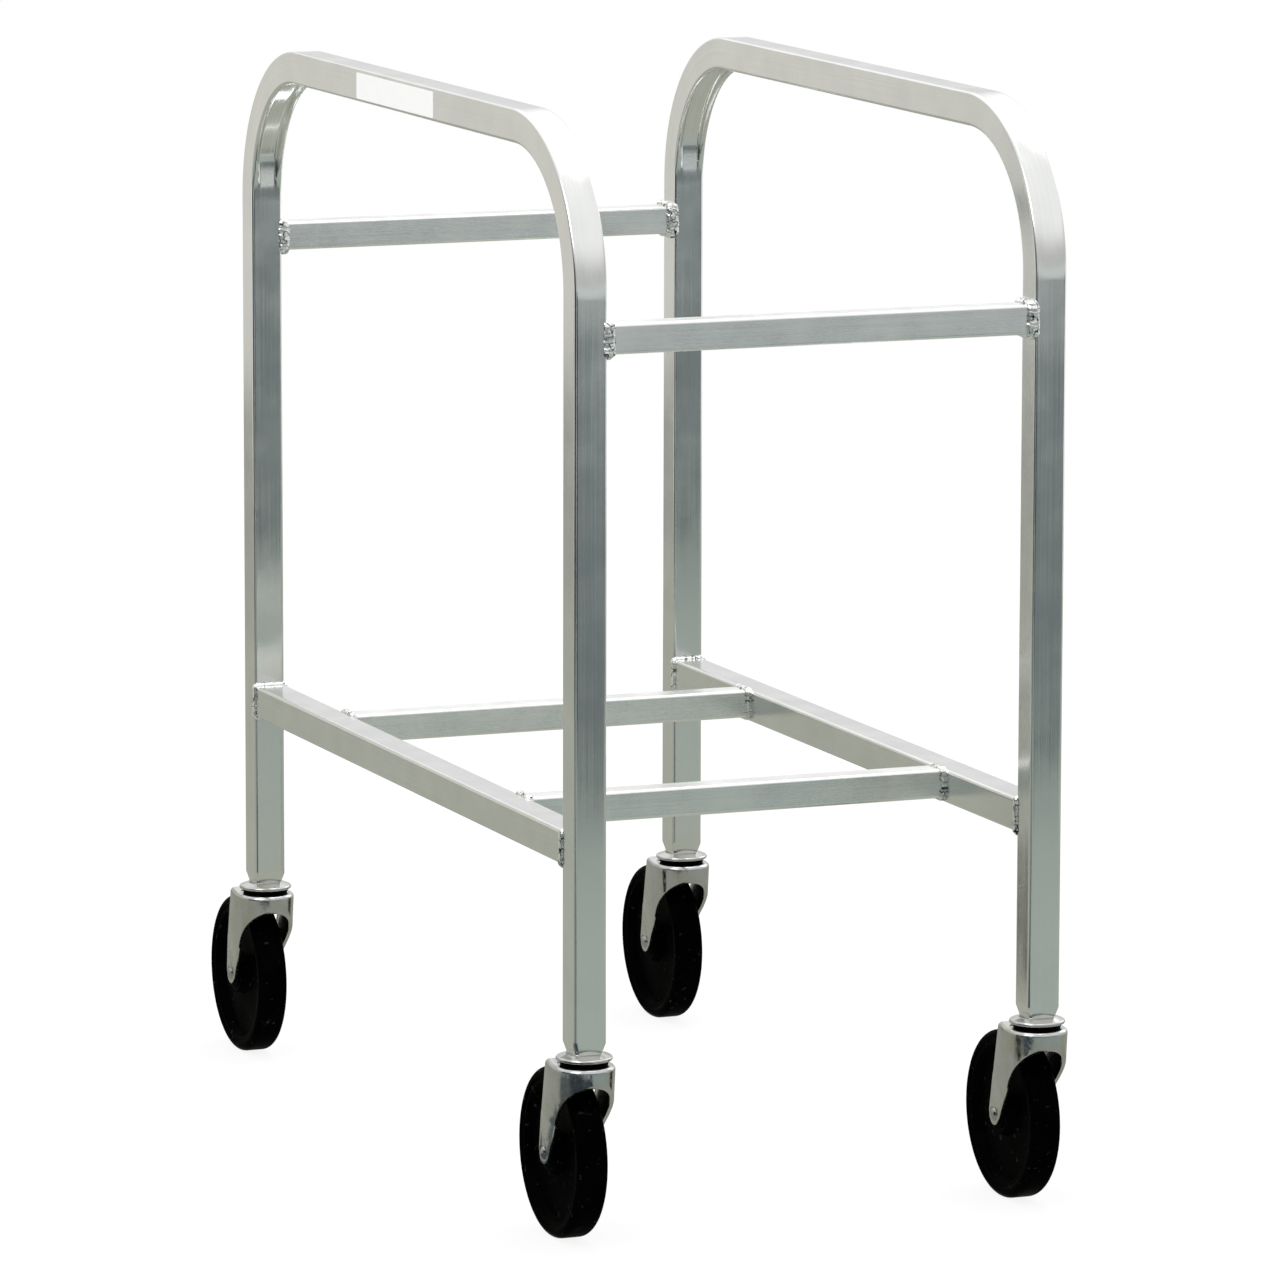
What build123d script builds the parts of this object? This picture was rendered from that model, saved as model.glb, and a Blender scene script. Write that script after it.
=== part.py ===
"""Lug tub dolly: two bent square-tube hoops, joined by welded cross rails, on four swivel casters.

Millimetres. +Z is up. The origin lies on the floor, midway between the four wheels' contact points.
The two hoops stand left (-X) and right (+X), and the casters trail towards the back (+Y).
"""
import math
import os

from build123d import *

# Frame: overall sizes
frame_width = 387.4
frame_length = 730.3
frame_height = 825.5

# Frame: tubes
hoop_tube = 25.4
hoop_wall = 1.8
hoop_corner = 2.65
hoop_bend_radius = 125.0
rail_tube = 22.2
rail_wall = 1.6
rail_corner = 2.2

# Frame: groove that the bender presses into the inner side of each bend, with a ramp at its two ends
groove_depth = 5.0
groove_floor_width = 11.0
groove_mouth_width = 17.5
groove_corner = 2.0
groove_ramp_angle = 17
groove_lip = 0.3

# Frame: places of the rails
upper_rail_height = 669.3
side_rail_height = 296.0
front_lower_rail_inset = 132.8
back_lower_rail_inset = 139.8

# Frame: crimped lower ends of the legs
crimp_height = 8.0
crimp_width = 20.6

# Frame: weld beads, as a round-nosed collar of metal laid round each joint
bead_rise = 3.6
bead_behind = 2.8
bead_ahead = 4.8
bead_nose = 3.3

# Label: a plain sticker on the top bar of the left hoop
label_length = 168.0
label_height = 20.0
label_thickness = 0.2
label_corner = 1.5
label_from_back = 355.0

# Caster: overall sizes
wheel_diameter = 127.0
wheel_width = 24.0
caster_trail = 42.0
caster_height = 146.0

# Caster: stem socket and king pin
stem_diameter = 11.1
stem_length = 47.0
socket_length = 52.0
socket_collar_height = 3.0
king_pin_diameter = 12.0
king_pin_head_diameter = 17.0
king_pin_head_height = 2.8

# Caster: ball races
race_cap_diameter = 41.8
race_cap_height = 5.2
race_cap_nose = 1.6
race_cap_seat_diameter = 29.0
race_gap = 3.5
upper_ball_diameter = 4.76
upper_ball_ring_diameter = 28.0
lower_ball_diameter = 3.97
lower_ball_ring_diameter = 21.2
lower_race_gap = 2.6
lower_race_height = 2.4
lower_race_diameter = 27.0
lower_race_lip = 0.9
ball_clearance = 0.05
ball_pitch_slack = 0.12
crown_hole_diameter = 16.0

# Caster: dust seal round the upper balls
seal_top_diameter = 37.4
seal_bottom_diameter = 34.8
seal_bore_diameter = 33.2
seal_clearance = 0.15

# Caster: pressed fork
fork_sheet = 2.8
fork_head_width = 46.0
fork_axle_width = 31.2
fork_head_back = 18.5
fork_shoulder_radius = 3.4
fork_ear_rise = 2.4
fork_ear_length = 9.5
fork_race_flat_diameter = 38.6
fork_tip_radius = 8.0
fork_arch_drop = 11.5
fork_arch_bulge_front = 6.5
fork_arch_bulge_drop = 28.0
fork_knee_back = 9.8
fork_knee_drop = 48.0
fork_waist_width = 42.6
fork_waist_drop = 40.0
fork_heel_back = 31.0
fork_heel_drop = 38.0
fork_boss_sheet = 2.6
fork_spot_diameter = 12.4

# Caster: axle, sleeve and bushes
axle_diameter = 8.0
axle_head_diameter = 10.8
axle_head_height = 2.2
sleeve_diameter = 12.7
bush_diameter = 18.0
bush_depth = 9.0
bush_flange_diameter = 22.0
bush_flange_thickness = 1.0
bush_running_clearance = 0.05
bush_end_clearance = 0.1

# Caster: wheel section
tread_shoulder_radius = 5.6
rim_flat_radial = 1.9
rim_bevel_radial = 2.0
rim_bevel_depth = 1.2
rim_ledge_radial = 3.0
web_thickness = 10.4
web_wall_radial = 3.5
hub_diameter = 29.0
hub_foot_radial = 2.5

# How far a cutting solid runs past what it cuts
overrun = 5.0

# Places worked out from the sizes above
frame_y = -caster_trail
hoop_x = (frame_width - hoop_tube) / 2
leg_y = (frame_length - hoop_tube) / 2
bar_z = frame_height - hoop_tube / 2
bend_line_radius = hoop_bend_radius - hoop_tube / 2
leg_bottom = caster_height
leg_straight_bottom = leg_bottom + crimp_height
lower_rail_height = side_rail_height + hoop_tube / 2 - rail_tube / 2
axle_height = wheel_diameter / 2
cap_underside = caster_height - race_cap_height
crown_top = cap_underside - race_gap
crown_underside = crown_top - fork_sheet
lower_race_top = crown_underside - lower_race_gap
lower_race_bottom = lower_race_top - lower_race_height
fork_waist_height = crown_top - fork_waist_drop
axle_gap = fork_axle_width - 2 * fork_boss_sheet
hub_width = axle_gap - 2 * (bush_flange_thickness + bush_end_clearance)
sides = {"left": -1, "right": 1}
ends = {"front": -1, "back": 1}


def write(name, shape):
    """Gives a piece its name and writes it to its own file."""
    shape.label = name
    export_step(shape, f"parts/{name}.step")


def group(solids):
    """Joins separate solids into one node without fusing them."""
    return Compound(children=list(solids))


def square_section(size, corner, wall):
    """Cross-section of a square tube, as its filled outside and its inside."""
    outside = RectangleRounded(size, size, corner)
    inside = RectangleRounded(size - 2 * wall, size - 2 * wall, corner - wall)
    return outside, inside


hoop_outside, hoop_inside = square_section(hoop_tube, hoop_corner, hoop_wall)
rail_outside, rail_inside = square_section(rail_tube, rail_corner, rail_wall)


def hoop_path(x):
    """Centre line of a hoop: up one leg, round two bends and down the other leg."""
    return FilletPolyline(
        (x, frame_y - leg_y, leg_straight_bottom),
        (x, frame_y - leg_y, bar_z),
        (x, frame_y + leg_y, bar_z),
        (x, frame_y + leg_y, leg_straight_bottom),
        radius=bend_line_radius,
    )


def crimp(x, y):
    """Lower end of a leg, squeezed in round the stem socket, as its filled outside and its inside."""
    shapes = []
    for shrink in (0, 2 * hoop_wall):
        corner = hoop_corner - shrink / 2
        top = RectangleRounded(hoop_tube - shrink, hoop_tube - shrink, corner)
        bottom = RectangleRounded(crimp_width - shrink, crimp_width - shrink, corner)
        section_top = Plane((x, y, leg_straight_bottom)) * top
        section_bottom = Plane((x, y, leg_bottom)) * bottom
        shapes.append(loft([section_bottom, section_top], ruled=True))
    return shapes


def groove_outline():
    """Cross-section of a groove: X across the tube, Y from the tube's inner face into the metal."""
    floor = groove_floor_width / 2
    slope = (groove_mouth_width / 2 - floor) / groove_depth
    outer = floor + slope * (groove_depth + overrun)
    corners = [(-outer, -overrun), (outer, -overrun), (floor, groove_depth), (-floor, groove_depth)]
    outline = make_face(Polyline(*corners, close=True))
    return fillet([corner for corner in outline.vertices() if corner.Y > 0], groove_corner)


def backing_outline():
    """Cross-section of the metal that lies behind a groove, one wall thicker than the groove."""
    half = hoop_tube / 2
    deep = groove_depth + hoop_wall
    return make_face(Polyline((-half, -overrun), (half, -overrun), (half, deep), (-half, deep), close=True))


def follow_bend(outline, x, end):
    """Solid that carries an outline round the inner face of one bend and out along its two ramps."""
    inner_radius = hoop_bend_radius - hoop_tube
    centre = Vector(x, frame_y + end * (frame_length / 2 - hoop_bend_radius), frame_height - hoop_bend_radius)

    def section(angle, lift):
        lean = math.radians(angle)
        outward = Vector(0, end * math.cos(lean), math.sin(lean))
        along = Vector(0, -math.sin(lean), end * math.cos(lean))
        return Plane(origin=centre + outward * (inner_radius - lift), x_dir=(1, 0, 0), z_dir=along) * outline

    first = groove_ramp_angle
    last = 90 - groove_ramp_angle
    axis = Axis(centre, (end, 0, 0))
    solid = revolve(section(first, 0), axis=axis, revolution_arc=last - first)
    ramp_lift = groove_depth + groove_lip
    for near, far in ((first, 0), (last, 90)):
        solid += loft([section(near, 0), section(far, ramp_lift)], ruled=True)
    return solid


def make_hoop(side):
    """One inverted U of square tube with its two crimped legs and its grooved bends."""
    x = side * hoop_x
    path = hoop_path(x)
    foot = Plane((x, frame_y - leg_y, leg_straight_bottom))
    outside = sweep(foot * hoop_outside, path=path)
    inside = sweep(foot * hoop_inside, path=path)
    for end in ends.values():
        outside -= follow_bend(groove_outline(), x, end)
        inside -= follow_bend(backing_outline(), x, end)
    hoop = outside - inside
    for end in ends.values():
        filled, hollow = crimp(x, frame_y + end * leg_y)
        hoop += filled - hollow
    return hoop


def tube_between(start, finish, section):
    """Prism of one section from one point to another, along X or Y."""
    direction = Vector(*finish) - Vector(*start)
    plane = Plane(origin=start, x_dir=(0, 0, 1), z_dir=direction.normalized())
    return extrude(plane * section, amount=direction.length)


def make_tube(start, finish, outside, inside):
    """Hollow rail from one point to another."""
    return tube_between(start, finish, outside) - tube_between(start, finish, inside)


def bead(point, direction, tube, corner, neighbours):
    """Weld bead round the end of a rail, less the two tubes that it joins."""
    direction = Vector(*direction)
    plane = Plane(origin=Vector(*point) - direction * bead_behind, x_dir=(0, 0, 1), z_dir=direction)
    outer = tube + 2 * bead_rise
    collar = extrude(plane * RectangleRounded(outer, outer, corner + bead_rise), amount=bead_behind + bead_ahead)
    rims = collar.faces().filter_by(Axis(point, direction)).edges()
    collar = fillet(rims, bead_nose)
    for neighbour in neighbours:
        collar -= neighbour
    return max(collar.solids(), key=lambda solid: solid.volume)


def leg_block(x, y):
    """Filled outside of a leg, used to trim the weld beads to it."""
    return extrude(Plane((x, y, leg_straight_bottom)) * hoop_outside, amount=bar_z - leg_straight_bottom)


def make_upper_rail(end):
    """Cross rail between the two front legs or the two back legs, and its two weld beads."""
    y = frame_y + end * leg_y
    reach = hoop_x - hoop_tube / 2
    start = (-reach, y, upper_rail_height)
    finish = (reach, y, upper_rail_height)
    rail = make_tube(start, finish, rail_outside, rail_inside)
    filled = tube_between(start, finish, rail_outside)
    beads = []
    for side in sides.values():
        point = (side * reach, y, upper_rail_height)
        joined = (filled, leg_block(side * hoop_x, y))
        beads.append(bead(point, (-side, 0, 0), rail_tube, rail_corner, joined))
    return rail, beads


def make_side_rail(side):
    """Rail between the two legs of one hoop, and its two weld beads."""
    x = side * hoop_x
    reach = leg_y - hoop_tube / 2
    start = (x, frame_y - reach, side_rail_height)
    finish = (x, frame_y + reach, side_rail_height)
    rail = make_tube(start, finish, hoop_outside, hoop_inside)
    filled = tube_between(start, finish, hoop_outside)
    beads = []
    for end in ends.values():
        point = (x, frame_y + end * reach, side_rail_height)
        joined = (filled, leg_block(x, frame_y + end * leg_y))
        beads.append(bead(point, (0, -end, 0), hoop_tube, hoop_corner, joined))
    return rail, beads, filled


def make_lower_rail(end, inset, side_blocks):
    """Cross rail between the two side rails, flush with their tops, and its two weld beads."""
    y = frame_y + end * (leg_y - hoop_tube / 2 - inset - rail_tube / 2)
    reach = hoop_x - hoop_tube / 2
    start = (-reach, y, lower_rail_height)
    finish = (reach, y, lower_rail_height)
    rail = make_tube(start, finish, rail_outside, rail_inside)
    filled = tube_between(start, finish, rail_outside)
    beads = []
    for name, side in sides.items():
        point = (side * reach, y, lower_rail_height)
        beads.append(bead(point, (-side, 0, 0), rail_tube, rail_corner, (filled, side_blocks[name])))
    return rail, beads


def make_label():
    """Thin plain sticker on the outer face of the left hoop's top bar."""
    face_x = -hoop_x - hoop_tube / 2
    centre_y = frame_y + frame_length / 2 - label_from_back
    plane = Plane(origin=(face_x, centre_y, bar_z), x_dir=(0, 1, 0), z_dir=(-1, 0, 0))
    return extrude(plane * RectangleRounded(label_length, label_height, label_corner), amount=label_thickness)


def turned(points, arcs=()):
    """Solid of revolution about Z from (radius, height) points; arcs maps a point's index to a middle point."""
    edges = []
    count = len(points)
    for index in range(count):
        first = (points[index][0], 0, points[index][1])
        second_point = points[(index + 1) % count]
        second = (second_point[0], 0, second_point[1])
        if index in dict(arcs):
            middle = dict(arcs)[index]
            edges.append(ThreePointArc(first, (middle[0], 0, middle[1]), second))
        else:
            edges.append(Line(first, second))
    return revolve(make_face(Wire(edges)), axis=Axis.Z, revolution_arc=360)


def make_stem_socket():
    """Steel socket inside the foot of a leg, with two square collars that fill the tube."""
    barrel_radius = crimp_width / 2 - hoop_wall
    barrel = extrude(Plane((0, 0, leg_bottom)) * Circle(barrel_radius), amount=socket_length)
    collar_heights = (
        leg_straight_bottom,
        leg_bottom + socket_length - socket_collar_height,
    )
    for height in collar_heights:
        barrel += extrude(Plane((0, 0, height)) * hoop_inside, amount=socket_collar_height)
    bore = Plane((0, 0, leg_bottom)) * Circle(stem_diameter / 2)
    return barrel - extrude(bore, amount=socket_length)


def make_king_pin():
    """King pin: head under the lower race, shank through the fork and stem up into the socket."""
    head = king_pin_head_diameter / 2
    shank = king_pin_diameter / 2
    stem = stem_diameter / 2
    foot = lower_race_bottom - king_pin_head_height
    stem_top = caster_height + stem_length
    tip_chamfer = shank - stem
    return turned([
        (0, foot),
        (head - tip_chamfer, foot),
        (head, foot + tip_chamfer),
        (head, lower_race_bottom),
        (shank, lower_race_bottom),
        (shank, caster_height),
        (stem, caster_height),
        (stem, stem_top - tip_chamfer),
        (stem - tip_chamfer, stem_top),
        (0, stem_top),
    ])


def ball_track(ring_diameter, ball_diameter, height):
    """Ring-shaped space that a row of balls sweeps, with its clearance."""
    centre = ring_diameter / 2
    radius = ball_diameter / 2 + ball_clearance
    section = Plane.XZ * Pos(centre, height) * Circle(radius)
    return revolve(section, axis=Axis.Z, revolution_arc=360)


upper_ball_height = crown_top + race_gap / 2
lower_ball_height = crown_underside - lower_race_gap / 2
upper_track = ball_track(upper_ball_ring_diameter, upper_ball_diameter, upper_ball_height)
lower_track = ball_track(lower_ball_ring_diameter, lower_ball_diameter, lower_ball_height)


def make_race_cap():
    """Round cap fixed under the leg, with a rolled rim and the upper ball track in its underside."""
    rim = race_cap_diameter / 2
    nose_centre = rim - race_cap_nose
    seat = race_cap_seat_diameter / 2
    nose_top = cap_underside + 2 * race_cap_nose
    cap = turned(
        [
            (king_pin_diameter / 2, cap_underside),
            (nose_centre, cap_underside),
            (nose_centre, nose_top),
            (seat, caster_height),
            (king_pin_diameter / 2, caster_height),
        ],
        arcs={1: (rim, cap_underside + race_cap_nose)},
    )
    return cap - upper_track


def make_dust_seal():
    """Dark ring under the race cap that closes the ball gap, narrower at its foot."""
    foot = crown_top + seal_clearance
    return turned([
        (seal_bore_diameter / 2, foot),
        (seal_bottom_diameter / 2, foot),
        (seal_top_diameter / 2, cap_underside),
        (seal_bore_diameter / 2, cap_underside),
    ])


def make_lower_race():
    """Dished ring under the crown, on the king pin, with the lower ball track in its top."""
    outer = lower_race_diameter / 2
    lip_inner = outer - lower_race_lip
    lip_top = crown_underside - lower_race_lip
    race = turned([
        (king_pin_diameter / 2, lower_race_bottom),
        (outer, lower_race_bottom),
        (outer, lip_top),
        (lip_inner, lip_top),
        (lip_inner, lower_race_top),
        (king_pin_diameter / 2, lower_race_top),
    ])
    return race - lower_track


def ball_row(ring_diameter, ball_diameter, height):
    """One full row of loose balls."""
    pitch = ball_diameter + ball_pitch_slack
    count = math.floor(math.pi / math.asin(pitch / ring_diameter))
    return [
        Rot(0, 0, index * 360 / count) * Pos(ring_diameter / 2, 0, height) * Sphere(ball_diameter / 2)
        for index in range(count)
    ]


def make_race_balls():
    """The upper and the lower row of balls, as separate solids in one node."""
    upper = ball_row(upper_ball_ring_diameter, upper_ball_diameter, upper_ball_height)
    lower = ball_row(lower_ball_ring_diameter, lower_ball_diameter, lower_ball_height)
    return group(ball.solid() for ball in upper + lower)


def fork_half_width(height):
    """Half the fork's outside width at a height: its legs draw in a little to the waist, then more."""
    if height > fork_waist_height:
        narrow, wide, low, high = fork_waist_width, fork_head_width, fork_waist_height, crown_top
    else:
        narrow, wide, low, high = fork_axle_width, fork_waist_width, axle_height, fork_waist_height
    share_up = (height - low) / (high - low)
    return narrow / 2 + (wide - narrow) / 2 * share_up


def fork_plan(height, inset):
    """Plan outline of the fork at a height: round in front and straight towards the back."""
    half = fork_half_width(height) - inset
    back = caster_trail + fork_tip_radius + overrun
    outline = [
        Line((-half, back, height), (-half, 0, height)),
        ThreePointArc((-half, 0, height), (0, -half, height), (half, 0, height)),
        Line((half, 0, height), (half, back, height)),
        Line((half, back, height), (-half, back, height)),
    ]
    return make_face(Wire(outline))


def fork_envelope(bottom, top, inset):
    """Solid inside a surface that lies one inset within the fork's outside."""
    plans = [fork_plan(height, inset) for height in (bottom, fork_waist_height, top)]
    return loft(plans, ruled=True)


def tangent_point(centre, radius, outside_point, turn):
    """Point where a line from an outside point touches a circle, on the side that turn chooses."""
    across = outside_point[0] - centre[0]
    up = outside_point[1] - centre[1]
    distance = math.hypot(across, up)
    angle = math.atan2(up, across) + turn * math.acos(radius / distance)
    return centre[0] + radius * math.cos(angle), centre[1] + radius * math.sin(angle)


def fork_profile():
    """Side outline of the fork: crown, raised rear corners, swept legs and the front arch."""
    axle = (caster_trail, axle_height)
    front = -fork_head_width / 2 - overrun
    ear = (fork_head_back, crown_top + fork_ear_rise)
    ear_foot = (fork_head_back - fork_ear_length, crown_top)
    heel = (fork_heel_back, crown_top - fork_heel_drop)
    knee = (fork_knee_back, crown_top - fork_knee_drop)
    arch_front = (-fork_head_width / 2, crown_top - fork_arch_drop)
    arch_middle = (-fork_arch_bulge_front, crown_top - fork_arch_bulge_drop)
    rear_touch = tangent_point(axle, fork_tip_radius, heel, -1)
    front_touch = tangent_point(axle, fork_tip_radius, knee, 1)
    tip = (axle[0], axle[1] - fork_tip_radius)

    def at(point):
        return (0, point[0], point[1])

    outline = [
        Line(at((front, crown_top)), at(ear_foot)),
        Line(at(ear_foot), at(ear)),
        Line(at(ear), at(heel)),
        Line(at(heel), at(rear_touch)),
        ThreePointArc(at(rear_touch), at(tip), at(front_touch)),
        Line(at(front_touch), at(knee)),
        ThreePointArc(at(knee), at(arch_middle), at(arch_front)),
        Line(at(arch_front), at((front, arch_front[1]))),
        Line(at((front, arch_front[1])), at((front, crown_top))),
    ]
    return make_face(Wire(outline))


def make_fork():
    """Pressed steel fork: round crown with a front arch, and two legs that draw in to the axle."""
    low = axle_height - fork_tip_radius - overrun
    high = crown_top + fork_ear_rise + overrun
    slab = extrude(fork_profile(), amount=fork_head_width, both=True)
    body = slab & fork_envelope(low, high, 0)
    shoulder = body.edges().filter_by(lambda edge: is_shoulder(edge))
    body = fillet(shoulder, fork_shoulder_radius)
    body -= fork_envelope(low, crown_underside, fork_sheet)
    middle = Plane.YZ * Pos(caster_trail, axle_height)
    wide = fork_axle_width / 2
    narrow = axle_gap / 2
    body += extrude(middle * Circle(fork_tip_radius), amount=wide, both=True)
    body -= extrude(middle * Circle(fork_tip_radius + overrun), amount=narrow, both=True)
    body -= extrude(middle * Circle(axle_diameter / 2), amount=wide + overrun, both=True)
    for side in sides.values():
        spot = Plane(origin=(side * wide, caster_trail, axle_height), z_dir=(side, 0, 0))
        body -= extrude(spot * Circle(fork_spot_diameter / 2), amount=overrun)
    hole = Plane((0, 0, crown_underside - overrun)) * Circle(crown_hole_diameter / 2)
    body -= extrude(hole, amount=fork_sheet + 2 * overrun)
    flat = Plane((0, 0, crown_top)) * Circle(fork_race_flat_diameter / 2)
    body -= extrude(flat, amount=fork_ear_rise + overrun)
    body -= upper_track
    body -= lower_track
    return body


def is_shoulder(edge):
    """True for the edges between the crown's top and the fork's outside, front and sides."""
    box = edge.bounding_box()
    on_top = box.min.Z >= crown_top - ball_clearance
    centre_line = edge @ (1 / 2)
    outside = abs(centre_line.X) > fork_race_flat_diameter / 2 or centre_line.Y < -fork_race_flat_diameter / 2
    return on_top and outside


def along_axle(points, arcs=()):
    """Solid of revolution about the wheel's axle from (radius, distance along the axle) points."""
    return Pos(0, caster_trail, axle_height) * Rot(0, 90, 0) * turned(points, arcs)


def dome_middle(base_radius, rise):
    """Point halfway along a spherical dome's side, as (radius, height above the dome's base)."""
    sphere = (base_radius ** 2 + rise ** 2) / (2 * rise)
    half_angle = math.atan2(base_radius, sphere - rise) / 2
    return sphere * math.sin(half_angle), rise - sphere + sphere * math.cos(half_angle)


def make_axle():
    """Rivet through the fork's legs, with a domed head at each end."""
    shank = axle_diameter / 2
    head = axle_head_diameter / 2
    seat = fork_axle_width / 2
    crown = seat + axle_head_height
    middle_radius, middle_rise = dome_middle(head, axle_head_height)
    return along_axle(
        [
            (0, -crown),
            (head, -seat),
            (shank, -seat),
            (shank, seat),
            (head, seat),
            (0, crown),
        ],
        arcs={0: (middle_radius, -seat - middle_rise), 4: (middle_radius, seat + middle_rise)},
    )


def make_sleeve():
    """Steel tube on the axle that the fork's legs clamp and the bushes turn on."""
    half = axle_gap / 2
    return along_axle([
        (axle_diameter / 2, -half),
        (sleeve_diameter / 2, -half),
        (sleeve_diameter / 2, half),
        (axle_diameter / 2, half),
    ])


def make_bushes():
    """Two flanged bushes pressed into the wheel's hub from its two sides."""
    bore = sleeve_diameter / 2 + bush_running_clearance
    face = hub_width / 2
    pair = []
    for side in sides.values():
        bush = along_axle([
            (bore, side * (face - bush_depth)),
            (bush_diameter / 2, side * (face - bush_depth)),
            (bush_diameter / 2, side * face),
            (bush_flange_diameter / 2, side * face),
            (bush_flange_diameter / 2, side * (face + bush_flange_thickness)),
            (bore, side * (face + bush_flange_thickness)),
        ])
        pair.append(bush.solid())
    return group(pair)


def wheel_section():
    """Half of the wheel's section, as (radius, distance from its middle plane), from tread to bore."""
    radius = wheel_diameter / 2
    half = wheel_width / 2
    shoulder = radius - tread_shoulder_radius
    bevel_top = shoulder - rim_flat_radial
    bevel_foot = bevel_top - rim_bevel_radial
    ledge_end = bevel_foot - rim_ledge_radial
    ledge = half - rim_bevel_depth
    web = web_thickness / 2
    hub = hub_diameter / 2
    return [
        (radius, half - tread_shoulder_radius),
        (shoulder, half),
        (bevel_top, half),
        (bevel_foot, ledge),
        (ledge_end, ledge),
        (ledge_end - web_wall_radial, web),
        (hub + hub_foot_radial, web),
        (hub, hub_width / 2),
        (bush_diameter / 2, hub_width / 2),
    ]


def make_wheel():
    """Solid black wheel: rounded tread, stepped rim, thin web and a hub for the bushes."""
    right = wheel_section()
    left = [(radius, -distance) for radius, distance in reversed(right)]
    shoulder = wheel_diameter / 2 - tread_shoulder_radius
    middle = wheel_width / 2 - tread_shoulder_radius
    lean = tread_shoulder_radius * math.sin(math.radians(45))
    points = right + left
    last_shoulder = points.index((shoulder, -wheel_width / 2))
    arcs = {
        0: (shoulder + lean, middle + lean),
        last_shoulder: (shoulder + lean, -middle - lean),
    }
    return along_axle(points, arcs)


def main():
    """Makes every piece and writes it."""
    os.makedirs("parts", exist_ok=True)
    side_blocks = {}
    side_beads = []
    for name, side in sides.items():
        write(f"{name}_hoop", make_hoop(side))
        rail, beads, side_blocks[name] = make_side_rail(side)
        write(f"{name}_side_rail", rail)
        side_beads += beads
    upper_beads = []
    lower_beads = []
    insets = {"front": front_lower_rail_inset, "back": back_lower_rail_inset}
    for name, end in ends.items():
        rail, beads = make_upper_rail(end)
        write(f"{name}_upper_rail", rail)
        upper_beads += beads
        rail, beads = make_lower_rail(end, insets[name], side_blocks)
        write(f"{name}_lower_rail", rail)
        lower_beads += beads
    write("side_rail_welds", group(side_beads))
    write("upper_rail_welds", group(upper_beads))
    write("lower_rail_welds", group(lower_beads))
    write("label", make_label())

    caster = {
        "stem_socket": make_stem_socket(),
        "king_pin": make_king_pin(),
        "race_cap": make_race_cap(),
        "dust_seal": make_dust_seal(),
        "race_balls": make_race_balls(),
        "lower_race": make_lower_race(),
        "fork": make_fork(),
        "axle": make_axle(),
        "sleeve": make_sleeve(),
        "bushes": make_bushes(),
        "wheel": make_wheel(),
    }
    for end_name, end in ends.items():
        for side_name, side in sides.items():
            place = Pos(side * hoop_x, frame_y + end * leg_y, 0)
            for piece, shape in caster.items():
                write(f"{end_name}_{side_name}_{piece}", place * shape)


main()
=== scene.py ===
"""Looks of the lug tub dolly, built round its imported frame.

Metres. +Z is up, the origin lies on the floor between the four wheels, and the casters trail towards +Y.
"""

import logging
import math
import random
from dataclasses import dataclass, field
from enum import Enum

import bpy
from mathutils import Matrix, Vector

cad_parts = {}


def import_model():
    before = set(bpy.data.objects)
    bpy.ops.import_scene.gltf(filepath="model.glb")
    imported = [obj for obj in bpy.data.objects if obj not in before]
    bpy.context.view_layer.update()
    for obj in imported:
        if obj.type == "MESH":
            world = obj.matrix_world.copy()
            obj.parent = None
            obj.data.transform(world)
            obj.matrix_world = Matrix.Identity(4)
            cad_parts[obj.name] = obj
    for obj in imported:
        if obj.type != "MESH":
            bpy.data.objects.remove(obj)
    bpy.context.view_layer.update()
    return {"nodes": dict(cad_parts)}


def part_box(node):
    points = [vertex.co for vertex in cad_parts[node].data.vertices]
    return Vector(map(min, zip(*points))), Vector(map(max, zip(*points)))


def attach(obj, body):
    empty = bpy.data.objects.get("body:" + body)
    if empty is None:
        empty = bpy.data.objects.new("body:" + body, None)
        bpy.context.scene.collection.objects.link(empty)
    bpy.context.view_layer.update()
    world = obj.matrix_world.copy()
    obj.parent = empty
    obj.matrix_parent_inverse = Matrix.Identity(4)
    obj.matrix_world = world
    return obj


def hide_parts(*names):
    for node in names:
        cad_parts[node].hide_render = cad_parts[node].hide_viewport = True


LOG = logging.getLogger("dolly")
MM = 0.001
NOISE_LOW = 0.3
NOISE_HIGH = 0.7
NOISE_MIDDLE = 0.5
MIX_COLOUR_INPUTS = (6, 7)
MIX_COLOUR_OUTPUT = 2
HOOP_BEND = 125 * MM
UP = Vector((0, 0, 1))
PALE_FLOOR = (0.41, 0.46, 0.42)
WARM_FLOOR = (0.43, 0.44, 0.38)
Colour = tuple[float, float, float]
Point = tuple[float, float, float]
Range = tuple[float, float]
Socket = bpy.types.NodeSocket


class Run(Enum):
    """Way that a tube was drawn through its die, which its fine lines follow."""

    ALONG_X = "x"
    ALONG_Y = "y"
    ROUND_HOOP = "hoop"


class Corner(Enum):
    """The four corners of the frame, by the names of their casters."""

    FRONT_LEFT = "front_left"
    FRONT_RIGHT = "front_right"
    BACK_LEFT = "back_left"
    BACK_RIGHT = "back_right"


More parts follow.
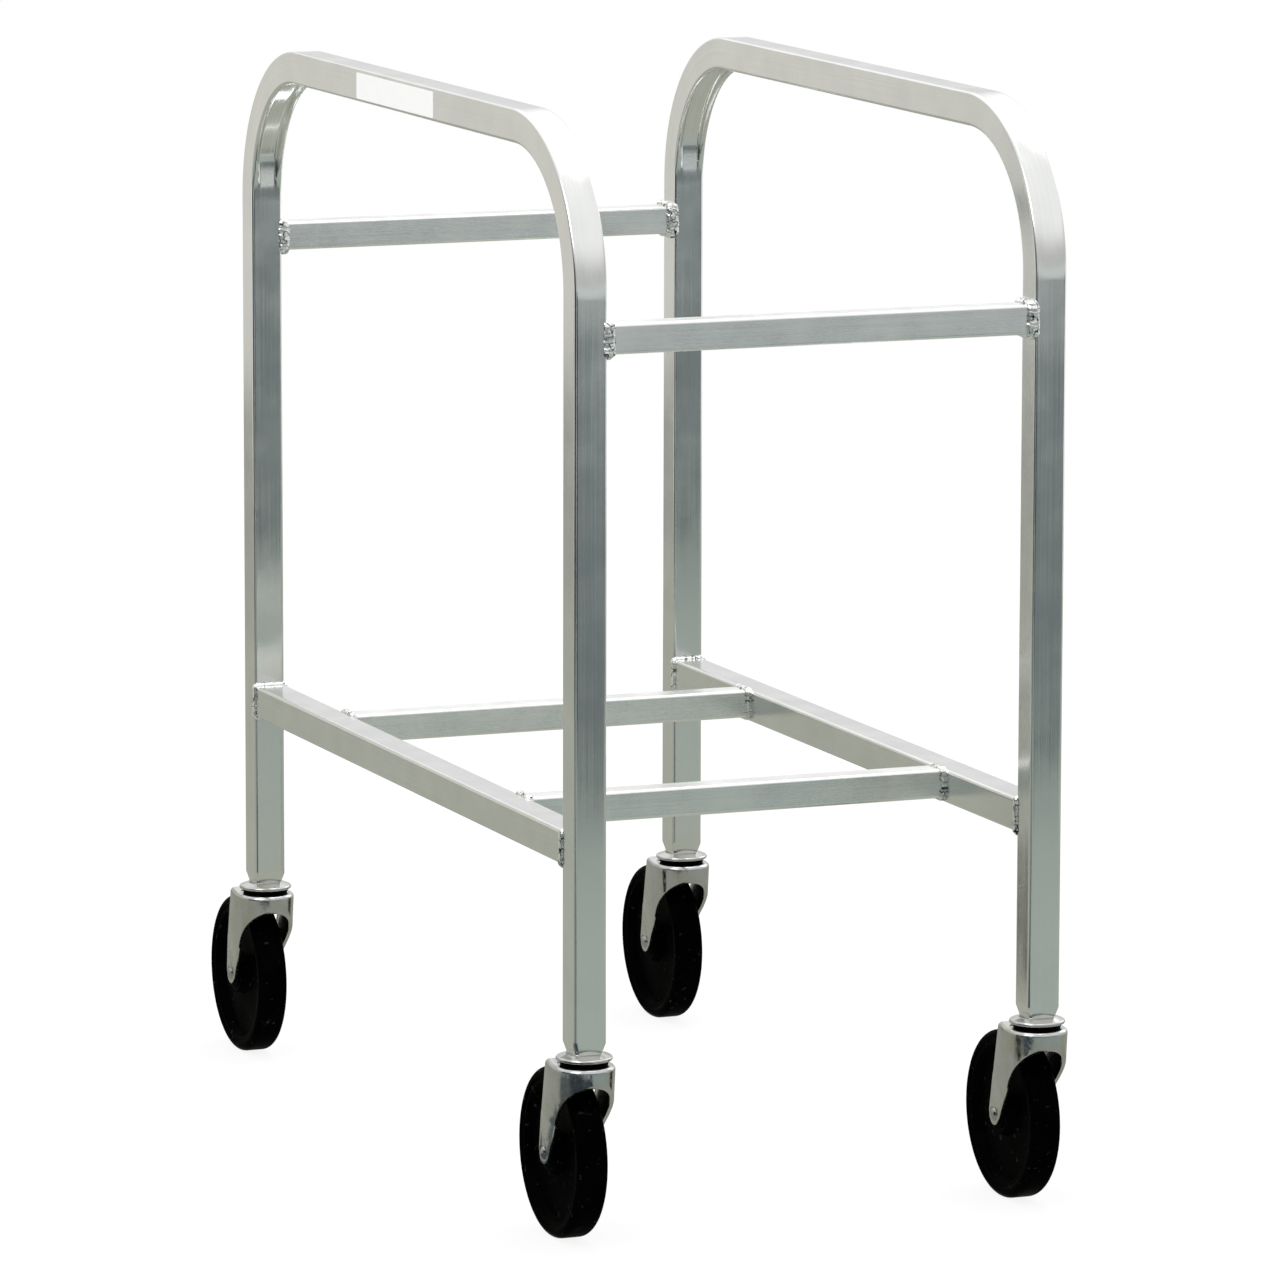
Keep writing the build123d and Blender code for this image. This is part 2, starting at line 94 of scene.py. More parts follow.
class Shader:
    """Node tree of one material, with short calls that add and join nodes."""

    def __init__(self, name: str) -> None:
        """Makes an empty material.

        Args:
            name: The material's name.
        """
        self.material = bpy.data.materials.new(name)
        self.material.use_nodes = True
        self.tree = self.material.node_tree
        self.tree.nodes.clear()

    def add(self, kind: str, settings: dict | None = None, **inputs: object) -> bpy.types.Node:
        """Adds a node.

        Args:
            kind: Blender's type name without its ShaderNode prefix.
            settings: Attributes of the node to set.
            inputs: Values or sockets, by the input's name with _ for a space, or by its place as in0 and on.

        Returns:
            The new node.
        """
        node = self.tree.nodes.new("ShaderNode" + kind)
        for key, value in (settings or {}).items():
            setattr(node, key, value)
        for key, value in inputs.items():
            place = int(key[2:]) if key.startswith("in") and key[2:].isdigit() else key.replace("_", " ")
            socket = node.inputs[place]
            if isinstance(value, Socket):
                self.tree.links.new(value, socket)
            else:
                socket.default_value = value
        return node

    def maths(self, operation: str, first: object, second: object = 0.0) -> Socket:
        """Adds a sum of two numbers or sockets and returns its result."""
        return self.add("Math", {"operation": operation}, in0=first, in1=second).outputs[0]

    def noise(self, vector: Socket, scale: float, detail: float = 2.0) -> Socket:
        """Adds a noise pattern and returns its value."""
        return self.add("TexNoise", None, Vector=vector, Scale=scale, Detail=detail).outputs["Fac"]

    def spread(self, value: Socket, low: float, high: float, to_low: float, to_high: float) -> Socket:
        """Stretches a value from one range to another, held at both ends."""
        ends = {"From_Min": low, "From_Max": high, "To_Min": to_low, "To_Max": to_high}
        return self.add("MapRange", None, Value=value, **ends).outputs["Result"]

    def blend(self, share: object, first: object, second: object) -> Socket:
        """Mixes two colours.

        Args:
            share: How much of the second colour there is, from 0 to 1.
            first: First colour.
            second: Second colour.

        Returns:
            The mixed colour.
        """
        node = self.add("Mix", {"data_type": "RGBA"}, in0=share)
        for place, value in zip(MIX_COLOUR_INPUTS, (first, second)):
            if isinstance(value, Socket):
                self.tree.links.new(value, node.inputs[place])
            else:
                node.inputs[place].default_value = (*value, 1.0)
        return node.outputs[MIX_COLOUR_OUTPUT]

    def bump(self, height: Socket, strength: float, distance: float, **more: object) -> Socket:
        """Adds a bump of a height pattern and returns its normal."""
        sizes = {"Strength": strength, "Distance": distance}
        return self.add("Bump", None, Height=height, **sizes, **more).outputs[0]

    def coat(self, colour: Socket, rough: Socket, normal: Socket, metallic: float = 0.0) -> bpy.types.Node:
        """Adds the surface shader that every finish uses.

        Args:
            colour: Base colour.
            rough: Roughness.
            normal: Normal of the bumps.
            metallic: 1 for bare metal.

        Returns:
            The shader.
        """
        surface = self.add("BsdfPrincipled", None, Base_Color=colour, Roughness=rough, Normal=normal)
        surface.inputs["Metallic"].default_value = metallic
        return surface

    def finish(self, surface: bpy.types.Node) -> bpy.types.Material:
        """Joins the surface to the output.

        Args:
            surface: The shader that lights the surface.

        Returns:
            The finished material.
        """
        output = self.add("OutputMaterial")
        self.tree.links.new(surface.outputs[0], output.inputs["Surface"])
        return self.material


@dataclass(frozen=True)
class HoopCurve:
    """Middle of the rounded outline that the hoops follow, seen from the side."""

    centre_y: float
    straight_half: float
    bend_foot: float

    @staticmethod
    def of(node: str) -> "HoopCurve":
        """Reads the curve from a hoop's node."""
        low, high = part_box(node)
        return HoopCurve((low.y + high.y) / 2, (high.y - low.y) / 2 - HOOP_BEND, high.z - HOOP_BEND)


@dataclass(frozen=True)
class DrawnAluminium:
    """Mill-finish aluminium tube: fine lengthwise lines, soft blotches and a satin shine."""

    name: str
    run: Run
    curve: HoopCurve | None = None
    dark: Colour = (0.74, 0.75, 0.74)
    light: Colour = (0.83, 0.84, 0.82)
    roughness: float = 0.15
    line_pitch: float = 0.4 * MM
    line_depth: float = 0.25
    line_length: float = 160 * MM
    line_rough: float = 0.05
    blotch_size: float = 38 * MM
    blotch_rough: float = 0.04
    grain_size: float = 1.1 * MM
    grain_share: float = 0.6
    tone_spread: float = 0.14
    bump_distance: float = 0.1 * MM

    def lines(self, shader: Shader, place: Socket) -> Socket:
        """Coordinates that are stretched along the tube.

        Args:
            shader: The material's nodes.
            place: Object coordinates.

        Returns:
            A vector with one unit for each line across the tube, and one for each line's length along it.
        """
        split = shader.add("SeparateXYZ", None, Vector=place)
        x, y, z = split.outputs
        if self.run is Run.ALONG_X:
            across, up, along = y, z, x
        elif self.run is Run.ALONG_Y:
            across, up, along = x, z, y
        else:
            from_middle = shader.maths("ABSOLUTE", shader.maths("SUBTRACT", y, self.curve.centre_y))
            out = shader.maths("SUBTRACT", from_middle, self.curve.straight_half)
            out = shader.maths("MAXIMUM", out, 0.0)
            over = shader.maths("MAXIMUM", shader.maths("SUBTRACT", z, self.curve.bend_foot), 0.0)
            corner = shader.add("CombineXYZ", None, X=out, Y=over)
            radius = shader.add("VectorMath", {"operation": "LENGTH"}, in0=corner.outputs[0])
            across, up, along = x, radius.outputs["Value"], shader.maths("ADD", y, z)
        joined = shader.add("CombineXYZ", None, X=across, Y=up, Z=along)
        pitch = (1 / self.line_pitch, 1 / self.line_pitch, 1 / self.line_length)
        scaled = shader.add("VectorMath", {"operation": "MULTIPLY"}, in0=joined.outputs[0], in1=pitch)
        return scaled.outputs[0]

    def build(self) -> bpy.types.Material:
        """Makes the material.

        Returns:
            The finished material.
        """
        shader = Shader(self.name)
        place = shader.add("TexCoord").outputs["Object"]
        lines = shader.noise(self.lines(shader, place), 1.0, detail=3.0)
        blotch = shader.noise(place, 1 / self.blotch_size, detail=3.0)
        grain = shader.noise(place, 1 / self.grain_size)
        tone = shader.maths("MULTIPLY", shader.maths("ADD", lines, blotch), 0.5)
        pale, deep = NOISE_MIDDLE - self.tone_spread, NOISE_MIDDLE + self.tone_spread
        share = shader.spread(tone, pale, deep, 0.0, 1.0)
        colour = shader.blend(share, self.dark, self.light)
        swing = shader.spread(lines, NOISE_LOW, NOISE_HIGH, -self.line_rough, self.line_rough)
        rough = shader.maths("ADD", swing, self.roughness)
        swing = shader.spread(blotch, NOISE_LOW, NOISE_HIGH, -self.blotch_rough, self.blotch_rough)
        rough = shader.maths("ADD", rough, swing)
        height = shader.maths("ADD", lines, shader.maths("MULTIPLY", grain, self.grain_share))
        normal = shader.bump(height, self.line_depth, self.bump_distance)
        return shader.finish(shader.coat(colour, rough, normal, metallic=1.0))


@dataclass(frozen=True)
class BeadMetal:
    """As-welded aluminium: brighter than the tube, with random soot, and painted shade as dark lines in the
    creases between its ripples.
    """

    name: str = "weld_metal"
    clean: Colour = (0.93, 0.94, 0.93)
    sooty: Colour = (0.5, 0.5, 0.48)
    # Near-black colour of the painted shade in the creases between the ripples.
    painted_crease_shade: Colour = (0.02, 0.02, 0.02)
    roughness: float = 0.2
    soot_roughness: float = 0.36
    soot_size: float = 3.2 * MM
    soot_edge: Range = (0.3, 0.48)
    soot_rough_edge: Range = (0.3, 0.6)
    soot_height: float = 0.5
    painted_crease_size: float = 8.0 * MM
    painted_crease_width: float = 0.026
    painted_crease_core: float = 0.3
    bump_strength: float = 0.2
    bump_distance: float = 0.3 * MM

    def build(self) -> bpy.types.Material:
        """Makes the material.

        Returns:
            The finished material.
        """
        shader = Shader(self.name)
        place = shader.add("TexCoord").outputs["Object"]
        soot = shader.noise(place, 1 / self.soot_size, detail=4.0)
        colour = shader.blend(shader.spread(soot, *self.soot_edge, 0.0, 1.0), self.sooty, self.clean)
        # Painted shade: near-black lines along the contours of a noise, where the creases between the
        # ripples lie in shadow.
        ripple = shader.noise(place, 1 / self.painted_crease_size, detail=1.0)
        from_painted_crease = shader.maths("ABSOLUTE", shader.maths("SUBTRACT", ripple, NOISE_MIDDLE))
        clear = shader.spread(from_painted_crease, self.painted_crease_core * self.painted_crease_width, self.painted_crease_width, 0.0, 1.0)
        colour = shader.blend(clear, self.painted_crease_shade, colour)
        rough = shader.spread(soot, *self.soot_rough_edge, self.soot_roughness, self.roughness)
        height = shader.maths("ADD", shader.maths("MULTIPLY", soot, self.soot_height), clear)
        normal = shader.bump(height, self.bump_strength, self.bump_distance)
        return shader.finish(shader.coat(colour, rough, normal, metallic=1.0))


@dataclass(frozen=True)
class BrightZinc:
    """Bright zinc plate on pressed steel, a little yellow in places, with rub marks."""

    name: str
    plate: Colour = (0.53, 0.54, 0.55)
    tinted: Colour = (0.46, 0.45, 0.39)
    roughness: float = 0.17
    cloud_size: float = 14 * MM
    cloud_edge: Range = (0.4, 0.68)
    cloud_share: float = 0.8
    rub_size: float = 2.2 * MM
    rub_edge: Range = (0.35, 0.7)
    rub_rough: Range = (-0.05, 0.1)
    rub_strength: float = 0.12
    rub_distance: float = 0.1 * MM
    dent_size: float = 9 * MM
    dent_strength: float = 0.16
    dent_distance: float = 1.0 * MM

    def build(self) -> bpy.types.Material:
        """Makes the material.

        Returns:
            The finished material.
        """
        shader = Shader(self.name)
        place = shader.add("TexCoord").outputs["Object"]
        cloud = shader.noise(place, 1 / self.cloud_size, detail=3.0)
        rubs = shader.noise(place, 1 / self.rub_size, detail=4.0)
        tint = shader.spread(cloud, *self.cloud_edge, 0.0, self.cloud_share)
        colour = shader.blend(tint, self.plate, self.tinted)
        swing = shader.spread(rubs, *self.rub_edge, *self.rub_rough)
        rough = shader.maths("ADD", swing, self.roughness)
        dents = shader.noise(place, 1 / self.dent_size)
        wavy = shader.bump(dents, self.dent_strength, self.dent_distance)
        normal = shader.bump(rubs, self.rub_strength, self.rub_distance, Normal=wavy)
        return shader.finish(shader.coat(colour, rough, normal, metallic=1.0))


@dataclass(frozen=True)
class MouldedBlack:
    """Hard black rubber or plastic with a satin skin, faint dust, and small pale scuffs that are partly wear
    and partly painted glints.
    """

    name: str
    base: Colour = (0.0004, 0.0004, 0.0005)
    dusty: Colour = (0.0008, 0.0009, 0.0008)
    # Pale colour of the scuffs, which is partly wear and partly painted glint.
    scuff_and_glint: Colour = (0.06, 0.06, 0.05)
    roughness: float = 0.3
    shine: float = 0.003
    scuff_and_glint_share: float = 0.3
    scuff_and_glint_edge: Range = (0.64, 0.74)
    dust_size: float = 22 * MM
    dust_edge: Range = (0.42, 0.75)
    dust_rough: Range = (-0.04, 0.12)
    scuff_and_glint_size: float = 5 * MM
    pore_size: float = 0.9 * MM
    pore_strength: float = 0.1
    pore_distance: float = 0.1 * MM

    def build(self) -> bpy.types.Material:
        """Makes the material.

        Returns:
            The finished material.
        """
        shader = Shader(self.name)
        place = shader.add("TexCoord").outputs["Object"]
        dust = shader.noise(place, 1 / self.dust_size, detail=4.0)
        marks = shader.noise(place, 1 / self.scuff_and_glint_size, detail=6.0)
        pores = shader.noise(place, 1 / self.pore_size)
        skin = shader.blend(shader.spread(dust, *self.dust_edge, 0.0, 1.0), self.base, self.dusty)
        # Scuffs: sparse pale spots, partly rub marks and partly painted glints on the black.
        worn_and_glinting = shader.spread(marks, *self.scuff_and_glint_edge, 0.0, self.scuff_and_glint_share)
        colour = shader.blend(worn_and_glinting, skin, self.scuff_and_glint)
        swing = shader.spread(dust, NOISE_LOW, NOISE_HIGH, *self.dust_rough)
        rough = shader.maths("ADD", swing, self.roughness)
        surface = shader.coat(colour, rough, shader.bump(pores, self.pore_strength, self.pore_distance))
        surface.inputs["Specular IOR Level"].default_value = self.shine
        return shader.finish(surface)


@dataclass(frozen=True)
class PlainFilm:
    """Satin white film with a faint mottle."""

    name: str
    light: Colour = (0.82, 0.82, 0.81)
    shaded: Colour = (0.8, 0.8, 0.79)
    roughness: float = 0.42
    mottle_size: float = 9 * MM
    mottle_rough: Range = (-0.05, 0.08)
    mottle_strength: float = 0.05
    mottle_distance: float = 0.1 * MM

    def build(self) -> bpy.types.Material:
        """Makes the material.

        Returns:
            The finished material.
        """
        shader = Shader(self.name)
        place = shader.add("TexCoord").outputs["Object"]
        mottle = shader.noise(place, 1 / self.mottle_size, detail=4.0)
        share = shader.spread(mottle, NOISE_LOW, NOISE_HIGH, 0.0, 1.0)
        colour = shader.blend(share, self.light, self.shaded)
        swing = shader.spread(mottle, NOISE_LOW, NOISE_HIGH, *self.mottle_rough)
        rough = shader.maths("ADD", swing, self.roughness)
        normal = shader.bump(mottle, self.mottle_strength, self.mottle_distance)
        return shader.finish(shader.coat(colour, rough, normal))


def deselect_all() -> None:
    """Leaves edit mode and deselects every object."""
    if bpy.context.mode != "OBJECT":
        bpy.ops.object.mode_set(mode="OBJECT")
    bpy.ops.object.select_all(action="DESELECT")


def pick(piece: bpy.types.Object) -> None:
    """Makes one object the only selected one, and active.

    Args:
        piece: The object.
    """
    deselect_all()
    piece.select_set(True)
    bpy.context.view_layer.objects.active = piece


def apply_modifier(piece: bpy.types.Object, kind: str, **settings: object) -> None:
    """Adds one modifier and applies it.

    Args:
        piece: The object, which becomes the active one.
        kind: Blender's modifier type.
        settings: The modifier's attributes.
    """
    pick(piece)
    modifier = piece.modifiers.new(kind.lower(), kind)
    for key, value in settings.items():
        setattr(modifier, key, value)
    bpy.ops.object.modifier_apply(modifier=modifier.name)


def place_in_mesh(piece: bpy.types.Object) -> None:
    """Moves the object's place into its mesh, so that the object sits at the origin, unturned."""
    pick(piece)
    bpy.ops.object.transform_apply(location=True, rotation=True, scale=True)


def smooth(piece: bpy.types.Object, degrees: float = 35.0) -> None:
    """Shades the piece smooth, apart from its sharp edges."""
    pick(piece)
    bpy.ops.object.shade_smooth_by_angle(angle=math.radians(degrees))


def dress(piece: bpy.types.Object, material: bpy.types.Material) -> None:
    """Gives the whole piece one material.

    Args:
        piece: The object.
        material: What all its slots get.
    """
    if not piece.material_slots:
        piece.data.materials.append(material)
    for slot in piece.material_slots:
        slot.material = material


def copy_of(piece: bpy.types.Object, name: str) -> bpy.types.Object:
    """Copies a piece with its own mesh.

    Args:
        piece: The object to copy.
        name: The copy's name.

    Returns:
        The copy, at the origin and with no parent.
    """
    twin = bpy.data.objects.new(name, piece.data.copy())
    bpy.context.scene.collection.objects.link(twin)
    return twin


@dataclass
class Wheel:
    """Black caster wheel: rounded tread, stepped rim, thin web and a hub with an open bore.

    Attributes:
        profile: Radius and height of each step of a side, from the tread's shoulder to the bore.
    """

    material: bpy.types.Material
    radius: float = 63.5 * MM
    width: float = 24 * MM
    shoulder: float = 5.6 * MM
    shoulder_steps: int = 8
    steps: int = 128
    edge_round: float = 0.35 * MM
    edge_steps: int = 3
    edge_angle: float = 0.3
    same_height: float = 0.1 * MM
    facing: float = 0.99
    profile: tuple[tuple[float, float], ...] = (
        (56.0 * MM, 12.0 * MM),
        (54.0 * MM, 10.8 * MM),
        (51.0 * MM, 10.8 * MM),
        (47.5 * MM, 5.2 * MM),
        (17.0 * MM, 5.2 * MM),
        (14.5 * MM, 11.9 * MM),
        (9.05 * MM, 11.9 * MM),
    )

    def cap_step(self, side: int, now: tuple[float, float], then: tuple[float, float]) -> None:
        """Extrudes the selected end cap by one step of the profile.

        Args:
            side: -1 for the left cap or 1 for the right one.
            now: Radius and height of the cap as it is.
            then: Radius and height that it gets.
        """
        bpy.ops.mesh.extrude_region_move()
        share = then[0] / now[0]
        bpy.ops.transform.resize(value=(1, share, share), center_override=(side * now[1], 0, 0))
        bpy.ops.transform.translate(value=(side * (then[1] - now[1]), 0, 0))

    def select_cap(self, piece: bpy.types.Object, side: int, height: float) -> None:
        """Selects the flat end face on one side in edit mode.

        Args:
            piece: The wheel.
            side: -1 for the left face or 1 for the right one.
            height: The face's distance from the wheel's middle.
        """
        bpy.ops.mesh.select_all(action="DESELECT")
        bpy.ops.object.mode_set(mode="OBJECT")
        for face in piece.data.polygons:
            level = abs(face.center.x - side * height) < self.same_height
            face.select = level and face.normal.x * side > self.facing
        bpy.ops.object.mode_set(mode="EDIT")

    def model(self) -> bpy.types.Object:
        """Models the wheel about the X axis, with its middle at the origin.

        Returns:
            The finished wheel.
        """
        deselect_all()
        bpy.ops.mesh.primitive_cylinder_add(
            vertices=self.steps, radius=self.radius, depth=self.width, rotation=(0, math.pi / 2, 0)
        )
        piece = bpy.context.active_object
        piece.name = "wheel_pattern"
        place_in_mesh(piece)
        bpy.ops.object.mode_set(mode="EDIT")
        bpy.ops.mesh.select_mode(type="FACE")
        half = self.width / 2
        for side in (-1, 1):
            self.select_cap(piece, side, half)
            bpy.ops.mesh.bevel(
                offset=self.shoulder, segments=self.shoulder_steps, affect="EDGES", offset_type="OFFSET"
            )
        for side in (-1, 1):
            self.select_cap(piece, side, half)
            now = (self.radius - self.shoulder, half)
            for then in self.profile:
                self.cap_step(side, now, then)
                now = then
            bpy.ops.mesh.delete(type="FACE")
        self.open_bore()
        bpy.ops.object.mode_set(mode="OBJECT")
        apply_modifier(
            piece, "BEVEL", width=self.edge_round, segments=self.edge_steps, limit_method="ANGLE",
            angle_limit=self.edge_angle,
        )
        smooth(piece)
        dress(piece, self.material)
        return piece

    @staticmethod
    def open_bore() -> None:
        """Joins the two open rims of the hub by the wall of the bore."""
        bpy.ops.mesh.select_mode(type="EDGE")
        bpy.ops.mesh.select_all(action="DESELECT")
        bpy.ops.mesh.select_non_manifold()
        bpy.ops.mesh.bridge_edge_loops()
        bpy.ops.mesh.select_all(action="SELECT")
        bpy.ops.mesh.normals_make_consistent(inside=False)

    def place(self, pattern: bpy.types.Object, corner: Corner) -> bpy.types.Object:
        """Puts a copy of the wheel on one corner's axle.

        Args:
            pattern: The wheel about the origin.
            corner: The corner.

        Returns:
            The placed wheel.
        """
        low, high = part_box(f"{corner.value}_wheel")
        piece = copy_of(pattern, f"{corner.value}_tyred_wheel")
        piece.location = (low + high) / 2
        bpy.context.view_layer.update()
        place_in_mesh(piece)
        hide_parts(f"{corner.value}_wheel")
        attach(piece, f"{corner.value}_wheel_set")
        return piece


@dataclass
class Casters:
    """The four swivel casters: new wheels, softened forks, and plated small parts."""

    nodes: dict[str, bpy.types.Object]
    fork_round: float = 0.5 * MM
    fork_round_steps: int = 2
    fork_edge_angle: float = 0.6
    merge_distance: float = 0.002 * MM
    quad_bend: float = 0.02
    quad_skew: float = 0.5
    plated: tuple[str, ...] = ("king_pin", "race_cap", "lower_race", "sleeve", "stem_socket")

    def fork(self, corner: Corner, material: bpy.types.Material) -> bpy.types.Object:
        """Rounds the cut edges of one pressed fork.

        Args:
            corner: The corner.
            material: The fork's plate.

        Returns:
            The piece that stands for the fork.
        """
        node = f"{corner.value}_fork"
        piece = copy_of(self.nodes[node], f"{corner.value}_pressed_fork")
        pick(piece)
        bpy.ops.object.mode_set(mode="EDIT")
        bpy.ops.mesh.select_all(action="SELECT")
        bpy.ops.mesh.remove_doubles(threshold=self.merge_distance)
        bpy.ops.mesh.tris_convert_to_quads(face_threshold=self.quad_bend, shape_threshold=self.quad_skew)
        bpy.ops.object.mode_set(mode="OBJECT")
        apply_modifier(
            piece, "BEVEL", width=self.fork_round, segments=self.fork_round_steps, limit_method="ANGLE",
            angle_limit=self.fork_edge_angle, use_clamp_overlap=True,
        )
        smooth(piece)
        dress(piece, material)
        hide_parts(node)
        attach(piece, f"{corner.value}_caster")
        return piece

    def build(self) -> list[bpy.types.Object]:
        """Dresses all four casters.

        Returns:
            The new wheels and forks.
        """
        zinc = BrightZinc("bright_zinc").build()
        steel = BrightZinc("ball_steel", (0.7, 0.7, 0.71), (0.62, 0.62, 0.62), roughness=0.08).build()
        # The axle's plate is darker than the fork's, as painted shade that makes the axle head stand out
        # against the fork.
        rivet = BrightZinc("rivet_zinc", (0.4, 0.41, 0.41), (0.34, 0.34, 0.31), roughness=0.12).build()
        seal = MouldedBlack("seal_rubber", roughness=0.4, scuff_and_glint_share=0.0).build()
        nylon = MouldedBlack("bush_nylon", roughness=0.35, scuff_and_glint_share=0.0).build()
        wheel = Wheel(MouldedBlack("wheel_black").build())
        pattern = wheel.model()
        made = []
        for corner in Corner:
            made.append(wheel.place(pattern, corner))
            made.append(self.fork(corner, zinc))
            for part in self.plated:
                dress(self.nodes[f"{corner.value}_{part}"], zinc)
            dress(self.nodes[f"{corner.value}_axle"], rivet)
            dress(self.nodes[f"{corner.value}_race_balls"], steel)
            dress(self.nodes[f"{corner.value}_dust_seal"], seal)
            dress(self.nodes[f"{corner.value}_bushes"], nylon)
        bpy.data.objects.remove(pattern)
        return made


@dataclass(frozen=True)
class BeadStyle:
    """How one kind of weld was laid: the size of its puddles, how uneven they are and how lumpy."""

    behind: float
    ahead: float
    height: float
    length: float
    step: float
    uneven: float
    lumps: float


@dataclass
class WeldBeads:
    """Weld beads round the ends of the rails, each a row of overlapping puddles fused into one."""

    material: bpy.types.Material
    seed: int = 41
    voxel: float = 0.42 * MM
    rail_corner: float = 2.2 * MM
    lump_size: float = 6.0 * MM
    lean: float = 0.45
    sharp_angle: float = 70.0
    puddle_detail: int = 3
    smoothing: float = 0.5
    melt_rounds: int = 7

    def outline(self, half: float, step: float) -> list[tuple[float, float, float]]:
        """Points round a rail's rounded square outside.

        Args:
            half: Half the rail's width.
            step: Distance between points.

        Returns:
            Place across, place up and outward angle of each point, going round once.
        """
        straight = 2 * (half - self.rail_corner)
        quarter = self.rail_corner * math.pi / 2
        side_length = straight + quarter
        count = round(4 * side_length / step)
        points = []
        for index in range(count):
            side, rest = divmod(index * 4 * side_length / count, side_length)
            if rest < straight:
                local = Vector((half, rest - straight / 2))
                bend = 0.0
            else:
                bend = (rest - straight) / self.rail_corner
                local = Vector((straight / 2, straight / 2))
                local += self.rail_corner * Vector((math.cos(bend), math.sin(bend)))
            local.rotate(Matrix.Rotation(side * math.pi / 2, 2))
            points.append((local.x, local.y, bend + side * math.pi / 2))
        return points

    def bead(
        self, end: Vector, along: Vector, half: float, style: BeadStyle, draw: random.Random
    ) -> bpy.types.Object:
        """Lays one bead.

        Args:
            end: Middle of the rail's end face.
            along: Unit vector from the end face along the rail.
            half: Half the rail's width.
            style: How the weld was laid.
            draw: Source of the unevenness.

        Returns:
            The fused bead.
        """
        turn = Matrix((UP.cross(along), UP, along)).transposed().to_4x4()
        reach = (style.behind + style.ahead) / 2
        puddles = []
        for u, v, angle in self.outline(half, style.step):
            drift = draw.uniform(-style.uneven, style.uneven) * reach
            spread = reach * (1 + draw.uniform(-style.uneven, style.uneven))
            height = style.height * (1 + draw.uniform(-style.uneven, style.uneven))
            middle = Vector((u, v, (style.ahead - style.behind) / 2 + drift))
            bpy.ops.mesh.primitive_ico_sphere_add(subdivisions=self.puddle_detail, radius=1)
            puddle = bpy.context.active_object
            puddle.matrix_world = (
                Matrix.Translation(end)
                @ turn
                @ Matrix.Translation(middle)
                @ Matrix.Rotation(angle, 4, "Z")
                @ Matrix.Rotation(self.lean, 4, "Z")
                @ Matrix.Rotation(draw.uniform(-style.uneven, style.uneven), 4, "X")
                @ Matrix.Diagonal((height, style.length, spread, 1))
            )
            puddles.append(puddle)
        deselect_all()
        for puddle in puddles:
            puddle.select_set(True)
        bpy.context.view_layer.objects.active = puddles[0]
        bpy.ops.object.join()
        fused = bpy.context.active_object
        place_in_mesh(fused)
        apply_modifier(fused, "REMESH", mode="VOXEL", voxel_size=self.voxel)
        apply_modifier(fused, "SMOOTH", factor=self.smoothing, iterations=self.melt_rounds)
        clouds = bpy.data.textures.new("bead_lumps", "CLOUDS")
        clouds.noise_scale = self.lump_size
        apply_modifier(
            fused, "DISPLACE", texture=clouds, texture_coords="LOCAL", strength=style.lumps, mid_level=0.5
        )
        apply_modifier(fused, "SMOOTH", factor=self.smoothing, iterations=1)
        bpy.data.textures.remove(clouds)
        return fused

    def node(
        self, node: str, ends: list[tuple[Vector, Vector]], half: float, style: BeadStyle
    ) -> bpy.types.Object:
        """Makes the piece that stands for one node of four beads.

        Args:
            node: The node's name.
            ends: Middle and direction of each joint.
            half: Half the rail's width.
            style: How the welds were laid.

        Returns:
            The piece.
        """
        draw = random.Random(self.seed + len(node))
        beads = []
        for end, along in ends:
            deselect_all()
            beads.append(self.bead(end, along, half, style, draw))
        deselect_all()
        for bead in beads:
            bead.select_set(True)
        bpy.context.view_layer.objects.active = beads[0]
        bpy.ops.object.join()
        piece = bpy.context.active_object
        piece.name = node.replace("welds", "beads")
        smooth(piece, self.sharp_angle)
        dress(piece, self.material)
        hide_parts(node)
        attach(piece, "frame")
        return piece

    @staticmethod
    def ends_of(rails: list[str], axis: int) -> list[tuple[Vector, Vector]]:
        """Finds the ends of some rails.

        Args:
            rails: Names of the rails' nodes.
            axis: Axis along which they run: 0 for X or 1 for Y.

        Returns:
            Middle of each end face, with the direction into the rail.
        """
        found = []
        for rail in rails:
            low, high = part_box(rail)
            middle = (low + high) / 2
            for place, way in ((low[axis], 1), (high[axis], -1)):
                end = middle.copy()
                end[axis] = place
                along = Vector((0, 0, 0))
                along[axis] = way
                found.append((end, along))
        return found

    def build(self) -> list[bpy.types.Object]:
        """Lays all twelve beads.

        Returns:
            The three pieces, of four beads each.
        """
        low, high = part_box("front_upper_rail")
        rail_half = (high.z - low.z) / 2
        low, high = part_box("left_side_rail")
        side_half = (high.z - low.z) / 2
        rough = BeadStyle(
            behind=4.2 * MM, ahead=6.6 * MM, height=3.4 * MM, length=4.6 * MM, step=2.6 * MM, uneven=0.05,
            lumps=1.3 * MM,
        )
        neat = BeadStyle(
            behind=2.4 * MM, ahead=4.2 * MM, height=2.2 * MM, length=3.0 * MM, step=1.9 * MM, uneven=0.04,
            lumps=0.7 * MM,
        )
        upper = self.ends_of(["front_upper_rail", "back_upper_rail"], 0)
        lower = self.ends_of(["front_lower_rail", "back_lower_rail"], 0)
        side = self.ends_of(["left_side_rail", "right_side_rail"], 1)
        return [
            self.node("upper_rail_welds", upper, rail_half, rough),
            self.node("lower_rail_welds", lower, rail_half, neat),
            self.node("side_rail_welds", side, side_half, neat),
        ]


